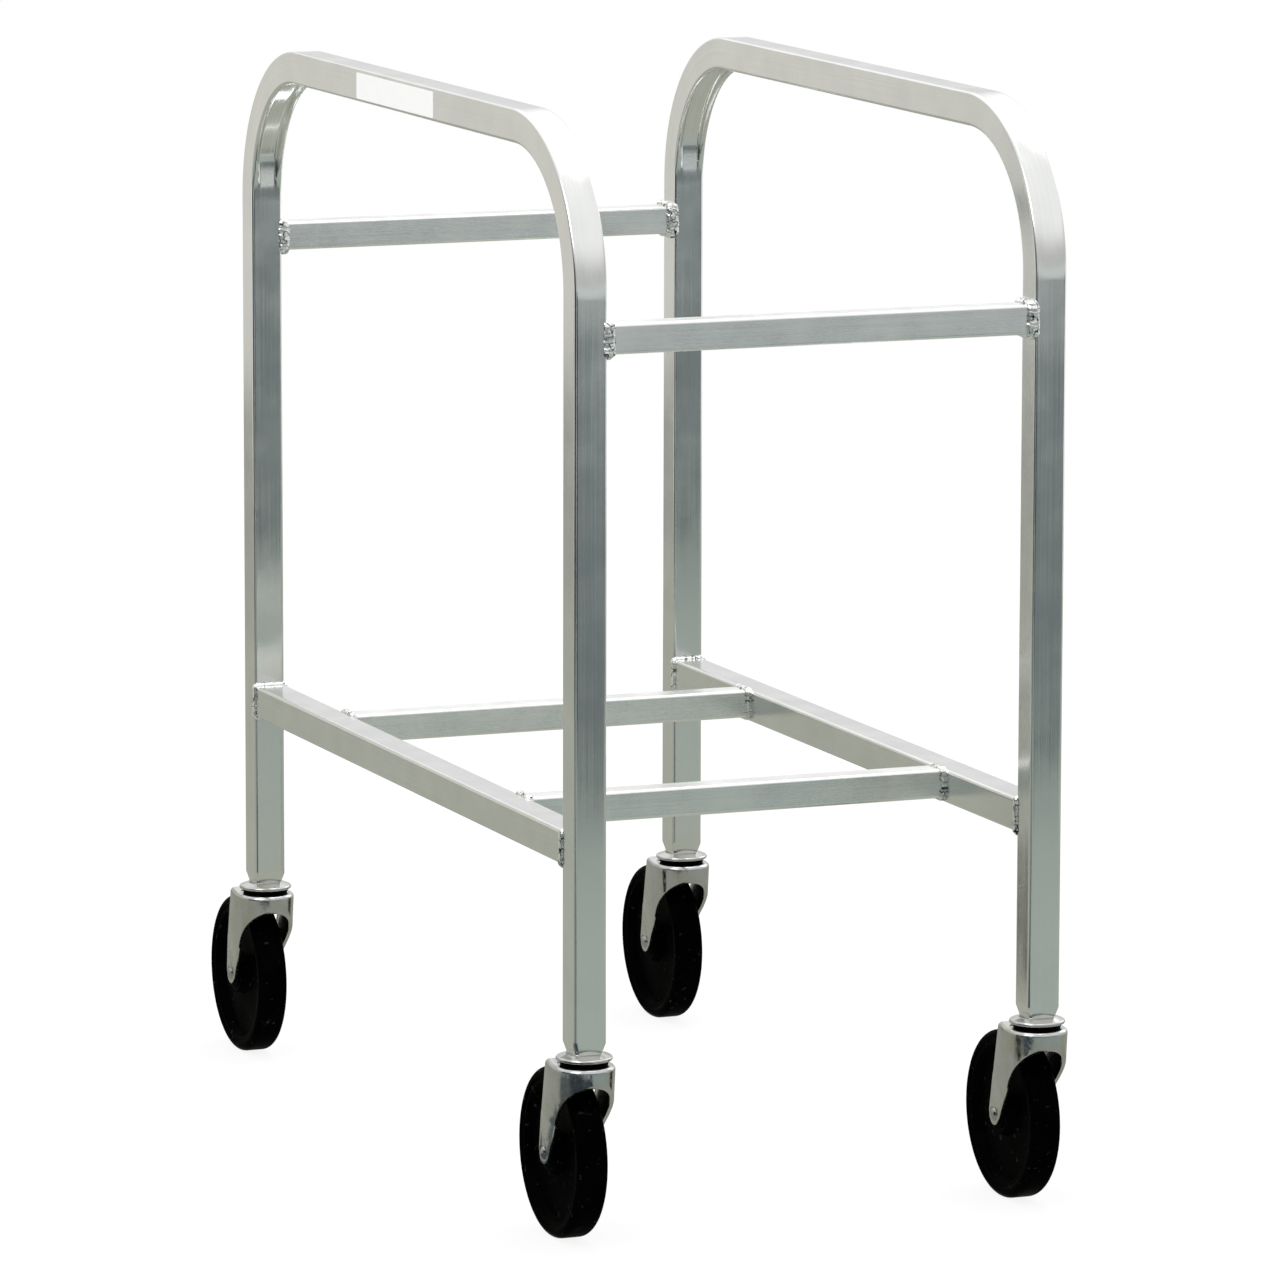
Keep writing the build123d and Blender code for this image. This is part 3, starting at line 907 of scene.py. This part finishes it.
@dataclass
class BentHoop:
    """One inverted U of square tube, with the marks that the bender pressed into its two bends."""

    node: str
    material: bpy.types.Material
    tube: float = 25.4 * MM
    wall: float = 1.8 * MM
    corner: float = 2.65 * MM
    corner_steps: int = 6
    side_cuts: int = 19
    bend: float = HOOP_BEND
    bend_steps: int = 45
    crimp_width: float = 20.6 * MM
    crimp_height: float = 8 * MM
    hold: float = 2.5 * MM
    groove_depth: float = 5 * MM
    groove_floor_half: float = 6.2 * MM
    groove_mouth_half: float = 10.4 * MM
    groove_lip: float = 0.3 * MM
    groove_ease: float = 1.2 * MM
    ramp_angle: float = math.radians(17)
    dish_depth: float = 1.0 * MM
    merge_distance: float = 0.01 * MM

    def carry(self, move: Vector, width_share: float = 1.0, centre: Vector | None = None) -> None:
        """Extrudes the selected ring of edges.

        Args:
            move: Way and distance.
            width_share: New width over the old one.
            centre: Middle of the ring, if its width changes.
        """
        bpy.ops.mesh.extrude_region_move()
        if centre is not None:
            bpy.ops.transform.resize(value=(width_share, width_share, 1), center_override=centre)
        bpy.ops.transform.translate(value=move)

    def section(self, foot: Vector) -> bpy.types.Object:
        """Draws the crimped end of the tube as a ring of edges, and leaves edit mode on.

        Args:
            foot: Middle of the leg's lower end.

        Returns:
            The new object.
        """
        deselect_all()
        bpy.ops.mesh.primitive_plane_add(size=self.crimp_width, location=foot)
        piece = bpy.context.active_object
        place_in_mesh(piece)
        bpy.ops.object.mode_set(mode="EDIT")
        bpy.ops.mesh.select_mode(type="VERT")
        bpy.ops.mesh.select_all(action="SELECT")
        corner = self.corner * self.crimp_width / self.tube
        bpy.ops.mesh.bevel(offset=corner, segments=self.corner_steps, affect="VERTICES")
        bpy.ops.mesh.select_all(action="SELECT")
        bpy.ops.mesh.delete(type="ONLY_FACE")
        bpy.ops.mesh.select_mode(type="EDGE")
        bpy.ops.object.mode_set(mode="OBJECT")
        vertices = piece.data.vertices
        for edge in piece.data.edges:
            first, second = (vertices[index].co for index in edge.vertices)
            edge.select = (first - second).length > self.crimp_width / 2
        bpy.ops.object.mode_set(mode="EDIT")
        bpy.ops.mesh.subdivide(number_cuts=self.side_cuts)
        bpy.ops.mesh.select_all(action="SELECT")
        return piece

    def sweep(self, low: Vector, high: Vector) -> bpy.types.Object:
        """Carries the section up one leg, round both bends and down the other leg.

        Args:
            low: Lowest corner of the hoop's box.
            high: Highest corner of the hoop's box.

        Returns:
            The skin of the hoop, open at its two feet.
        """
        middle_x = (low.x + high.x) / 2
        foot = Vector((middle_x, low.y + self.tube / 2, low.z))
        piece = self.section(foot)
        widen = self.tube / self.crimp_width
        rise = high.z - self.bend - low.z - self.crimp_height - 2 * self.hold
        back = Vector((0, 1, 0))
        self.carry(self.crimp_height * UP, widen, foot)
        for length in (self.hold, rise, self.hold):
            self.carry(length * UP)
        turn = {"steps": self.bend_steps, "angle": math.pi / 2, "axis": (1, 0, 0)}
        bpy.ops.mesh.spin(center=(middle_x, low.y + self.bend, high.z - self.bend), **turn)
        for length in (self.hold, high.y - low.y - 2 * self.bend - 2 * self.hold, self.hold):
            self.carry(length * back)
        bpy.ops.mesh.spin(center=(middle_x, high.y - self.bend, high.z - self.bend), **turn)
        for length in (self.hold, rise, self.hold):
            self.carry(-length * UP)
        last = Vector((middle_x, high.y - self.tube / 2, low.z + self.crimp_height))
        self.carry(-self.crimp_height * UP, 1 / widen, last)
        bpy.ops.mesh.select_all(action="SELECT")
        bpy.ops.mesh.remove_doubles(threshold=self.merge_distance)
        bpy.ops.mesh.normals_make_consistent(inside=False)
        bpy.ops.object.mode_set(mode="OBJECT")
        return piece

    def pressed(self, place: Vector, low: Vector, high: Vector) -> float:
        """Depth that the bender pressed in at one place, over the groove's depth.

        Args:
            place: A point on the skin.
            low: Lowest corner of the hoop's box.
            high: Highest corner of the hoop's box.

        Returns:
            0 for an untouched place and 1 for the floor of the groove.
        """
        out = max(low.y + self.bend - place.y, place.y - high.y + self.bend, 0.0)
        over = max(place.z - high.z + self.bend, 0.0)
        if min(out, over) <= 0.0:
            return 0.0
        angle = math.atan2(over, out)
        angle = min(angle, math.pi / 2 - angle)
        aside = abs(place.x - (low.x + high.x) / 2)
        inner = self.bend - self.tube
        if math.hypot(out, over) > inner + self.tube / 2:
            across = max(0.0, 1 - (2 * aside / self.tube) ** 2)
            return self.dish_depth / self.groove_depth * across * min(1.0, angle / self.ramp_angle)
        if math.hypot(out, over) > inner + self.corner / 2:
            return 0.0
        start = inner - self.groove_lip
        deep = inner + self.groove_depth
        rise = (deep * math.cos(self.ramp_angle) - start) / (deep * math.sin(self.ramp_angle))
        ramp = start / (math.cos(angle) - rise * math.sin(angle)) - inner
        floor = (self.groove_depth + ramp - math.hypot(self.groove_depth - ramp, self.groove_ease)) / 2
        share = (self.groove_mouth_half - aside) / (self.groove_mouth_half - self.groove_floor_half)
        share = min(1.0, max(0.0, share))
        wall = self.groove_depth * share * share * (3 - 2 * share)
        return max(0.0, wall - self.groove_depth + floor) / self.groove_depth

    def build(self) -> bpy.types.Object:
        """Makes the piece that stands for the hoop.

        Returns:
            The finished hoop.
        """
        low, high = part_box(self.node)
        piece = self.sweep(low, high)
        group = piece.vertex_groups.new(name="pressed")
        for vertex in piece.data.vertices:
            group.add([vertex.index], self.pressed(vertex.co, low, high), "REPLACE")
        apply_modifier(
            piece, "DISPLACE", strength=-self.groove_depth, mid_level=0.0, vertex_group=group.name
        )
        apply_modifier(piece, "SOLIDIFY", thickness=self.wall, offset=-1.0)
        piece.vertex_groups.clear()
        piece.name = self.node.replace("hoop", "bent_hoop")
        smooth(piece)
        dress(piece, self.material)
        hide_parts(self.node)
        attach(piece, "frame")
        return piece


@dataclass
class TubeFrame:
    """The tubes of the frame and the blank label on its left hoop."""

    nodes: dict[str, bpy.types.Object]
    hoops: tuple[str, ...] = ("left_hoop", "right_hoop")
    side_rails: tuple[str, ...] = ("left_side_rail", "right_side_rail")
    cross_rails: tuple[str, ...] = (
        "front_upper_rail", "back_upper_rail", "front_lower_rail", "back_lower_rail",
    )
    cross_dark: Colour = (0.85, 0.86, 0.85)
    cross_light: Colour = (0.94, 0.95, 0.93)
    cross_roughness: float = 0.28

    def build(self) -> list[bpy.types.Object]:
        """Gives each tube and the label their finishes.

        Returns:
            The two new hoops.
        """
        hoop = DrawnAluminium("hoop_aluminium", Run.ROUND_HOOP, HoopCurve.of("left_hoop")).build()
        side = DrawnAluminium("side_rail_aluminium", Run.ALONG_Y).build()
        cross = DrawnAluminium(
            "cross_rail_aluminium", Run.ALONG_X, dark=self.cross_dark, light=self.cross_light,
            roughness=self.cross_roughness,
        ).build()
        for names, material in ((self.side_rails, side), (self.cross_rails, cross)):
            for name in names:
                dress(self.nodes[name], material)
        dress(self.nodes["label"], PlainFilm("label_film").build())
        return [BentHoop(name, hoop).build() for name in self.hoops]


@dataclass(frozen=True)
class Card:
    """Upright or flat studio card that is seen only in reflections.

    Attributes:
        low: One corner.
        high: The opposite corner. The card is flat along the axis on which both agree.
        colour: Light that it gives back.
    """

    low: Point
    high: Point
    colour: Colour

    @staticmethod
    def on_floor(low: Range, high: Range, colour: Colour) -> "Card":
        """Makes a flat card just above the floor from the places of two corners."""
        return Card((*low, 4 * MM), (*high, 4 * MM), colour)

    def build(self, name: str) -> bpy.types.Object:
        """Makes the card.

        Args:
            name: Its name.

        Returns:
            The card.
        """
        deselect_all()
        bpy.ops.mesh.primitive_plane_add(size=1)
        card = bpy.context.active_object
        card.name = name
        low, high = Vector(self.low), Vector(self.high)
        size = high - low
        if size.x == 0:
            card.rotation_euler.y = math.pi / 2
            card.scale = (size.z, size.y, 1)
        elif size.y == 0:
            card.rotation_euler.x = math.pi / 2
            card.scale = (size.x, size.z, 1)
        else:
            card.scale = (size.x, size.y, 1)
        card.location = (low + high) / 2
        place_in_mesh(card)
        shader = Shader(name)
        dress(card, shader.finish(shader.add("Emission", None, Color=(*self.colour, 1.0))))
        for kind in ("camera", "diffuse", "transmission", "volume_scatter", "shadow"):
            setattr(card, f"visible_{kind}", False)
        return card


@dataclass
class Studio:
    """Pale floor, soft light, cards for the metal and the camera at the photograph's viewing angle."""

    floor_half: float = 60.0
    floor_colour: Colour = (0.92, 0.92, 0.92)
    floor_white_share: float = 0.88
    camera_place: Point = (-2.331, -5.8787, 1.4095)
    camera_yaw: float = 0.3804
    camera_pitch: float = 0.1614
    camera_roll: float = 0.0024
    lens: float = 232.4
    sensor: float = 36.0
    clip_end: float = 200.0
    aim: Point = (0.0, 0.0, 0.4)
    sky_depth: Range = (-0.7, 0.5)
    sky_front: float = 0.7
    sky_back: float = 0.95
    sky_height: Range = (0.12, 0.5)
    sky_top: float = 0.6
    sky_side: Range = (-0.9, -0.4)
    sky_left: float = -0.4
    cards: dict[str, Card] = field(
        default_factory=lambda: {
            "front_card": Card((-0.05, -2.4, 0.0), (3.4, -2.4, 0.46), (0.175, 0.205, 0.21)),
            "front_high_card": Card((-0.05, -2.4, 0.46), (3.4, -2.4, 0.75), (0.66, 0.7, 0.69)),
            "corner_card": Card((-1.9, -2.4, 0.0), (-0.05, -2.4, 0.6), (0.05, 0.06, 0.065)),
            "front_floor_card": Card.on_floor((-0.05, -2.4), (3.4, -2.0), (0.155, 0.185, 0.18)),
            "right_floor_card": Card.on_floor((-0.05, -2.0), (3.4, -0.5), PALE_FLOOR),
            "near_floor_card": Card.on_floor((-3.4, -2.4), (-0.05, -1.5), PALE_FLOOR),
            "middle_floor_card": Card.on_floor((-0.5, -1.5), (-0.05, -0.93), PALE_FLOOR),
            "inner_floor_card": Card.on_floor((-0.12, -0.93), (-0.05, -0.5), PALE_FLOOR),
            "left_floor_card": Card.on_floor((-3.4, -1.5), (-0.5, -0.93), (0.11, 0.13, 0.14)),
            "left_near_floor_card": Card.on_floor((-0.75, -0.93), (-0.12, -0.5), (0.045, 0.06, 0.08)),
            "left_middle_floor_card": Card.on_floor((-0.75, -0.5), (-0.22, -0.15), (0.12, 0.14, 0.14)),
            "left_far_floor_card": Card.on_floor((-3.4, -0.93), (-0.75, -0.15), (0.3, 0.33, 0.31)),
            "right_back_floor_card": Card.on_floor((-0.22, -0.5), (3.4, 2.4), WARM_FLOOR),
            "left_back_floor_card": Card.on_floor((-3.4, -0.15), (-0.22, 2.4), WARM_FLOOR),
            "back_low_card": Card((-3.4, 2.4, 0.0), (-0.3, 2.4, 0.255), (0.38, 0.38, 0.34)),
            "back_card": Card((-3.4, 2.4, 0.255), (-0.3, 2.4, 1.7), (0.7, 0.69, 0.64)),
            "left_card": Card((-2.4, -2.4, 0.0), (-2.4, 0.5, 1.0), (0.04, 0.05, 0.05)),
        }
    )
    lamps: dict[str, tuple[Point, float, float]] = field(
        default_factory=lambda: {
            "key_softbox": ((-2.6, -1.8, 2.9), 2.0, 40.0),
            "top_softbox": ((0.5, 0.6, 3.4), 2.4, 45.0),
            "side_softbox": ((3.0, 1.4, 1.8), 1.8, 14.0),
        }
    )

    def floor(self) -> None:
        """Makes the floor, which looks nearly white and keeps the shadow."""
        deselect_all()
        bpy.ops.mesh.primitive_plane_add(size=2 * self.floor_half)
        plane = bpy.context.active_object
        plane.name = "floor"
        shader = Shader("floor_paper")
        matt = shader.add("BsdfDiffuse", None, Color=(*self.floor_colour, 1.0))
        white = shader.add("Emission", None, Strength=1.0)
        path = shader.add("LightPath")
        seen = shader.maths("MAXIMUM", path.outputs["Is Camera Ray"], path.outputs["Is Glossy Ray"])
        seen = shader.maths("MAXIMUM", seen, path.outputs["Is Transmission Ray"])
        share = shader.maths("MULTIPLY", seen, self.floor_white_share)
        mixed = shader.add("MixShader", None, in0=share, in1=matt.outputs[0], in2=white.outputs[0])
        dress(plane, shader.finish(mixed))

    def sky(self) -> None:
        """Lights the room: bright behind the object and above it, dimmer in front."""
        world = bpy.data.worlds.new("studio")
        bpy.context.scene.world = world
        world.use_nodes = True
        tree = world.node_tree
        tree.nodes.clear()
        place = tree.nodes.new("ShaderNodeTexCoord")
        split = tree.nodes.new("ShaderNodeSeparateXYZ")
        tree.links.new(place.outputs["Generated"], split.inputs[0])
        depth = self.ramp(tree, split.outputs["Y"], *self.sky_depth, self.sky_front, self.sky_back)
        height = self.ramp(tree, split.outputs["Z"], *self.sky_height, 0.0, self.sky_top)
        side = self.ramp(tree, split.outputs["X"], *self.sky_side, self.sky_left, 0.0)
        part = tree.nodes.new("ShaderNodeMath")
        tree.links.new(depth, part.inputs[0])
        tree.links.new(height, part.inputs[1])
        total = tree.nodes.new("ShaderNodeMath")
        tree.links.new(part.outputs[0], total.inputs[0])
        tree.links.new(side, total.inputs[1])
        light = tree.nodes.new("ShaderNodeBackground")
        tree.links.new(total.outputs[0], light.inputs["Strength"])
        output = tree.nodes.new("ShaderNodeOutputWorld")
        tree.links.new(light.outputs[0], output.inputs["Surface"])

    @staticmethod
    def ramp(
        tree: bpy.types.NodeTree, value: Socket, low: float, high: float, first: float, last: float
    ) -> Socket:
        """Adds a soft step from one level to another to the world's nodes.

        Args:
            tree: The world's nodes.
            value: What the step follows.
            low: Where the step starts.
            high: Where it ends.
            first: Level before it.
            last: Level after it.

        Returns:
            The level.
        """
        level = tree.nodes.new("ShaderNodeMapRange")
        level.interpolation_type = "SMOOTHSTEP"
        for name, number in (("From Min", low), ("From Max", high), ("To Min", first), ("To Max", last)):
            level.inputs[name].default_value = number
        tree.links.new(value, level.inputs["Value"])
        return level.outputs["Result"]

    def lights(self) -> None:
        """Hangs the softboxes, each turned to the middle of the object."""
        aim = Vector(self.aim)
        for name, (place, size, power) in self.lamps.items():
            lamp = bpy.data.lights.new(name, "AREA")
            lamp.size = size
            lamp.energy = power
            piece = bpy.data.objects.new(name, lamp)
            bpy.context.scene.collection.objects.link(piece)
            piece.location = place
            piece.rotation_euler = (aim - Vector(place)).to_track_quat("-Z", "Y").to_euler()

    def camera(self) -> None:
        """Sets the camera."""
        data = bpy.data.cameras.new("camera")
        data.lens = self.lens
        data.sensor_width = self.sensor
        data.clip_end = self.clip_end
        piece = bpy.data.objects.new("camera", data)
        bpy.context.scene.collection.objects.link(piece)
        turn = (
            Matrix.Rotation(-self.camera_yaw, 4, "Z")
            @ Matrix.Rotation(math.pi / 2 - self.camera_pitch, 4, "X")
            @ Matrix.Rotation(self.camera_roll, 4, "Z")
        )
        piece.matrix_world = Matrix.Translation(self.camera_place) @ turn
        bpy.context.scene.camera = piece

    def build(self) -> None:
        """Sets up the whole studio."""
        bpy.context.scene.view_settings.view_transform = "Standard"
        self.floor()
        for name, card in self.cards.items():
            card.build(name)
        self.sky()
        self.lights()
        self.camera()


def main() -> None:
    """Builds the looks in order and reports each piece."""
    logging.basicConfig(level=logging.INFO, format="%(name)s: %(message)s")
    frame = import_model()
    nodes = frame["nodes"]
    pieces = TubeFrame(nodes).build()
    pieces += WeldBeads(BeadMetal().build()).build()
    pieces += Casters(nodes).build()
    for piece in pieces:
        LOG.info("%s: %d faces", piece.name, len(piece.data.polygons))
    Studio().build()


if __name__ == "__main__":
    main()
